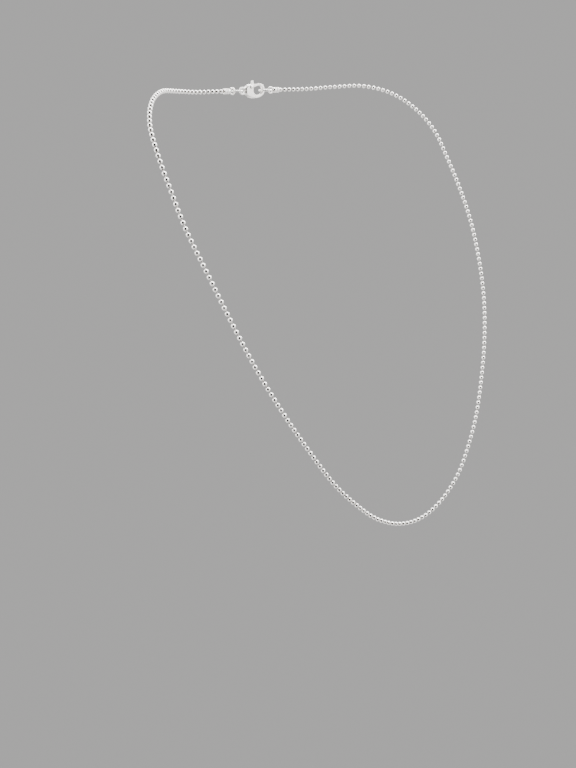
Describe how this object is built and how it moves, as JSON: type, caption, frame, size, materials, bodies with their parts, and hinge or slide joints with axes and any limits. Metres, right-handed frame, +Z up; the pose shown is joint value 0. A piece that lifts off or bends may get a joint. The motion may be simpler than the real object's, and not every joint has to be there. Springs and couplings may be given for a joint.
{
  "type": "chain necklace",
  "caption": "Fine silver bead-chain necklace in its worn shape: bead strands that bend, end caps, rings and a lobster clasp whose sprung trigger opens.",
  "frame": {"origin": "middle of the closed clasp at the nape, where the back of the neck holds the necklace up", "axes": "+Z up, the wearer's front looks along -Y, the strands mirror each other in X, +X is the wearer's left"},
  "size_m": [0.1264, 0.1044, 0.1491],
  "materials": {
    "chain_silver": "polished sterling silver beads",
    "clasp_silver": "polished cast silver",
    "ring_silver": "polished drawn silver wire",
    "spring_steel": "plain spring strip"
  },
  "bodies": {
    "nape": {"chain_left_15": "chain_silver", "chain_right_15": "chain_silver", "end_cap_left": "clasp_silver", "end_cap_right": "clasp_silver"},
    "left_run_14": {"chain_left_14": "chain_silver"},
    "left_run_13": {"chain_left_13": "chain_silver"},
    "left_run_12": {"chain_left_12": "chain_silver"},
    "left_run_11": {"chain_left_11": "chain_silver"},
    "left_run_10": {"chain_left_10": "chain_silver"},
    "left_run_09": {"chain_left_09": "chain_silver"},
    "left_run_08": {"chain_left_08": "chain_silver"},
    "left_run_07": {"chain_left_07": "chain_silver"},
    "left_run_06": {"chain_left_06": "chain_silver"},
    "left_run_05": {"chain_left_05": "chain_silver"},
    "left_run_04": {"chain_left_04": "chain_silver"},
    "left_run_03": {"chain_left_03": "chain_silver"},
    "left_run_02": {"chain_left_02": "chain_silver"},
    "left_run_01": {"chain_left_01": "chain_silver"},
    "right_run_14": {"chain_right_14": "chain_silver"},
    "right_run_13": {"chain_right_13": "chain_silver"},
    "right_run_12": {"chain_right_12": "chain_silver"},
    "right_run_11": {"chain_right_11": "chain_silver"},
    "right_run_10": {"chain_right_10": "chain_silver"},
    "right_run_09": {"chain_right_09": "chain_silver"},
    "right_run_08": {"chain_right_08": "chain_silver"},
    "right_run_07": {"chain_right_07": "chain_silver"},
    "right_run_06": {"chain_right_06": "chain_silver"},
    "right_run_05": {"chain_right_05": "chain_silver"},
    "right_run_04": {"chain_right_04": "chain_silver"},
    "right_run_03": {"chain_right_03": "chain_silver"},
    "right_run_02": {"chain_right_02": "chain_silver"},
    "right_run_01": {"chain_right_01": "chain_silver"},
    "jump_ring": {"jump_ring": "ring_silver"},
    "closing_ring": {"closing_ring": "ring_silver"},
    "clasp": {"clasp_body": "clasp_silver", "clasp_rivet": "clasp_silver", "clasp_spring": "spring_steel"},
    "trigger": {"clasp_trigger": "clasp_silver"}
  },
  "joints": [
    {"name": "left_bend_14", "type": "hinge", "parent": "nape", "child": "left_run_14", "pos_m": [-0.02866, -0.00295, 0.0001], "axis": [-1, 0, 0], "range_deg": [0, 20]},
    {"name": "left_bend_13", "type": "hinge", "parent": "left_run_14", "child": "left_run_13", "pos_m": [-0.04227, -0.01123, 0.00074], "axis": [-1, 0, 0], "range_deg": [0, 20]},
    {"name": "left_bend_12", "type": "hinge", "parent": "left_run_13", "child": "left_run_12", "pos_m": [-0.05339, -0.02224, -0.00211], "axis": [-1, 0, 0], "range_deg": [0, 20]},
    {"name": "left_bend_11", "type": "hinge", "parent": "left_run_12", "child": "left_run_11", "pos_m": [-0.06043, -0.03379, -0.01043], "axis": [-1, 0, 0], "range_deg": [0, 20]},
    {"name": "left_bend_10", "type": "hinge", "parent": "left_run_11", "child": "left_run_10", "pos_m": [-0.06243, -0.04434, -0.02219], "axis": [-1, 0, 0], "range_deg": [0, 20]},
    {"name": "left_bend_09", "type": "hinge", "parent": "left_run_10", "child": "left_run_09", "pos_m": [-0.06254, -0.05352, -0.03531], "axis": [-1, 0, 0], "range_deg": [0, 20]},
    {"name": "left_bend_08", "type": "hinge", "parent": "left_run_09", "child": "left_run_08", "pos_m": [-0.06109, -0.06261, -0.04839], "axis": [-1, 0, 0], "range_deg": [0, 20]},
    {"name": "left_bend_07", "type": "hinge", "parent": "left_run_08", "child": "left_run_07", "pos_m": [-0.05869, -0.07052, -0.0621], "axis": [-1, 0, 0], "range_deg": [0, 20]},
    {"name": "left_bend_06", "type": "hinge", "parent": "left_run_07", "child": "left_run_06", "pos_m": [-0.05528, -0.07756, -0.07606], "axis": [-1, 0, 0], "range_deg": [0, 20]},
    {"name": "left_bend_05", "type": "hinge", "parent": "left_run_06", "child": "left_run_05", "pos_m": [-0.05038, -0.08362, -0.09004], "axis": [-1, 0, 0], "range_deg": [0, 20]},
    {"name": "left_bend_04", "type": "hinge", "parent": "left_run_05", "child": "left_run_04", "pos_m": [-0.04428, -0.08879, -0.10391], "axis": [-1, 0, 0], "range_deg": [0, 20]},
    {"name": "left_bend_03", "type": "hinge", "parent": "left_run_04", "child": "left_run_03", "pos_m": [-0.03728, -0.09335, -0.11755], "axis": [-1, 0, 0], "range_deg": [0, 20]},
    {"name": "left_bend_02", "type": "hinge", "parent": "left_run_03", "child": "left_run_02", "pos_m": [-0.02795, -0.09724, -0.12995], "axis": [-1, 0, 0], "range_deg": [0, 20]},
    {"name": "left_bend_01", "type": "hinge", "parent": "left_run_02", "child": "left_run_01", "pos_m": [-0.01608, -0.1, -0.14019], "axis": [-1, 0, 0], "range_deg": [0, 20]},
    {"name": "right_bend_14", "type": "hinge", "parent": "nape", "child": "right_run_14", "pos_m": [0.02866, -0.00295, 0.0001], "axis": [-1, 0, 0], "range_deg": [0, 20]},
    {"name": "right_bend_13", "type": "hinge", "parent": "right_run_14", "child": "right_run_13", "pos_m": [0.04227, -0.01123, 0.00074], "axis": [-1, 0, 0], "range_deg": [0, 20]},
    {"name": "right_bend_12", "type": "hinge", "parent": "right_run_13", "child": "right_run_12", "pos_m": [0.05339, -0.02224, -0.00211], "axis": [-1, 0, 0], "range_deg": [0, 20]},
    {"name": "right_bend_11", "type": "hinge", "parent": "right_run_12", "child": "right_run_11", "pos_m": [0.06043, -0.03379, -0.01043], "axis": [-1, 0, 0], "range_deg": [0, 20]},
    {"name": "right_bend_10", "type": "hinge", "parent": "right_run_11", "child": "right_run_10", "pos_m": [0.06243, -0.04434, -0.02219], "axis": [-1, 0, 0], "range_deg": [0, 20]},
    {"name": "right_bend_09", "type": "hinge", "parent": "right_run_10", "child": "right_run_09", "pos_m": [0.06254, -0.05352, -0.03531], "axis": [-1, 0, 0], "range_deg": [0, 20]},
    {"name": "right_bend_08", "type": "hinge", "parent": "right_run_09", "child": "right_run_08", "pos_m": [0.06109, -0.06261, -0.04839], "axis": [-1, 0, 0], "range_deg": [0, 20]},
    {"name": "right_bend_07", "type": "hinge", "parent": "right_run_08", "child": "right_run_07", "pos_m": [0.05869, -0.07052, -0.0621], "axis": [-1, 0, 0], "range_deg": [0, 20]},
    {"name": "right_bend_06", "type": "hinge", "parent": "right_run_07", "child": "right_run_06", "pos_m": [0.05528, -0.07756, -0.07606], "axis": [-1, 0, 0], "range_deg": [0, 20]},
    {"name": "right_bend_05", "type": "hinge", "parent": "right_run_06", "child": "right_run_05", "pos_m": [0.05038, -0.08362, -0.09004], "axis": [-1, 0, 0], "range_deg": [0, 20]},
    {"name": "right_bend_04", "type": "hinge", "parent": "right_run_05", "child": "right_run_04", "pos_m": [0.04428, -0.08879, -0.10391], "axis": [-1, 0, 0], "range_deg": [0, 20]},
    {"name": "right_bend_03", "type": "hinge", "parent": "right_run_04", "child": "right_run_03", "pos_m": [0.03728, -0.09335, -0.11755], "axis": [-1, 0, 0], "range_deg": [0, 20]},
    {"name": "right_bend_02", "type": "hinge", "parent": "right_run_03", "child": "right_run_02", "pos_m": [0.02795, -0.09724, -0.12995], "axis": [-1, 0, 0], "range_deg": [0, 20]},
    {"name": "right_bend_01", "type": "hinge", "parent": "right_run_02", "child": "right_run_01", "pos_m": [0.01608, -0.1, -0.14019], "axis": [-1, 0, 0], "range_deg": [0, 20]},
    {"name": "jump_ring_turns", "type": "hinge", "parent": "nape", "child": "jump_ring", "pos_m": [-0.0067, 0, 0], "axis": [0, 0, 1], "continuous": true},
    {"name": "closing_ring_turns", "type": "hinge", "parent": "nape", "child": "closing_ring", "pos_m": [0.0065, 0, 0], "axis": [0, 0, 1], "continuous": true},
    {"name": "clasp_rolls", "type": "hinge", "parent": "nape", "child": "clasp", "pos_m": [0, 0, 0], "axis": [1, 0, 0], "range_deg": [-25, 25]},
    {"name": "trigger_opens", "type": "hinge", "parent": "clasp", "child": "trigger", "pos_m": [-0.0009, 0, 0.0012], "axis": [0, 1, 0], "range_deg": [0, 28], "stiffness_Nm_per_rad": 0.002, "springref_deg": -11.46}
  ],
  "couplings": [
    {"joint": "right_bend_14", "follows": "left_bend_14", "ratio": 1},
    {"joint": "right_bend_13", "follows": "left_bend_13", "ratio": 1},
    {"joint": "right_bend_12", "follows": "left_bend_12", "ratio": 1},
    {"joint": "right_bend_11", "follows": "left_bend_11", "ratio": 1},
    {"joint": "right_bend_10", "follows": "left_bend_10", "ratio": 1},
    {"joint": "right_bend_09", "follows": "left_bend_09", "ratio": 1},
    {"joint": "right_bend_08", "follows": "left_bend_08", "ratio": 1},
    {"joint": "right_bend_07", "follows": "left_bend_07", "ratio": 1},
    {"joint": "right_bend_06", "follows": "left_bend_06", "ratio": 1},
    {"joint": "right_bend_05", "follows": "left_bend_05", "ratio": 1},
    {"joint": "right_bend_04", "follows": "left_bend_04", "ratio": 1},
    {"joint": "right_bend_03", "follows": "left_bend_03", "ratio": 1},
    {"joint": "right_bend_02", "follows": "left_bend_02", "ratio": 1},
    {"joint": "right_bend_01", "follows": "left_bend_01", "ratio": 1}
  ]
}
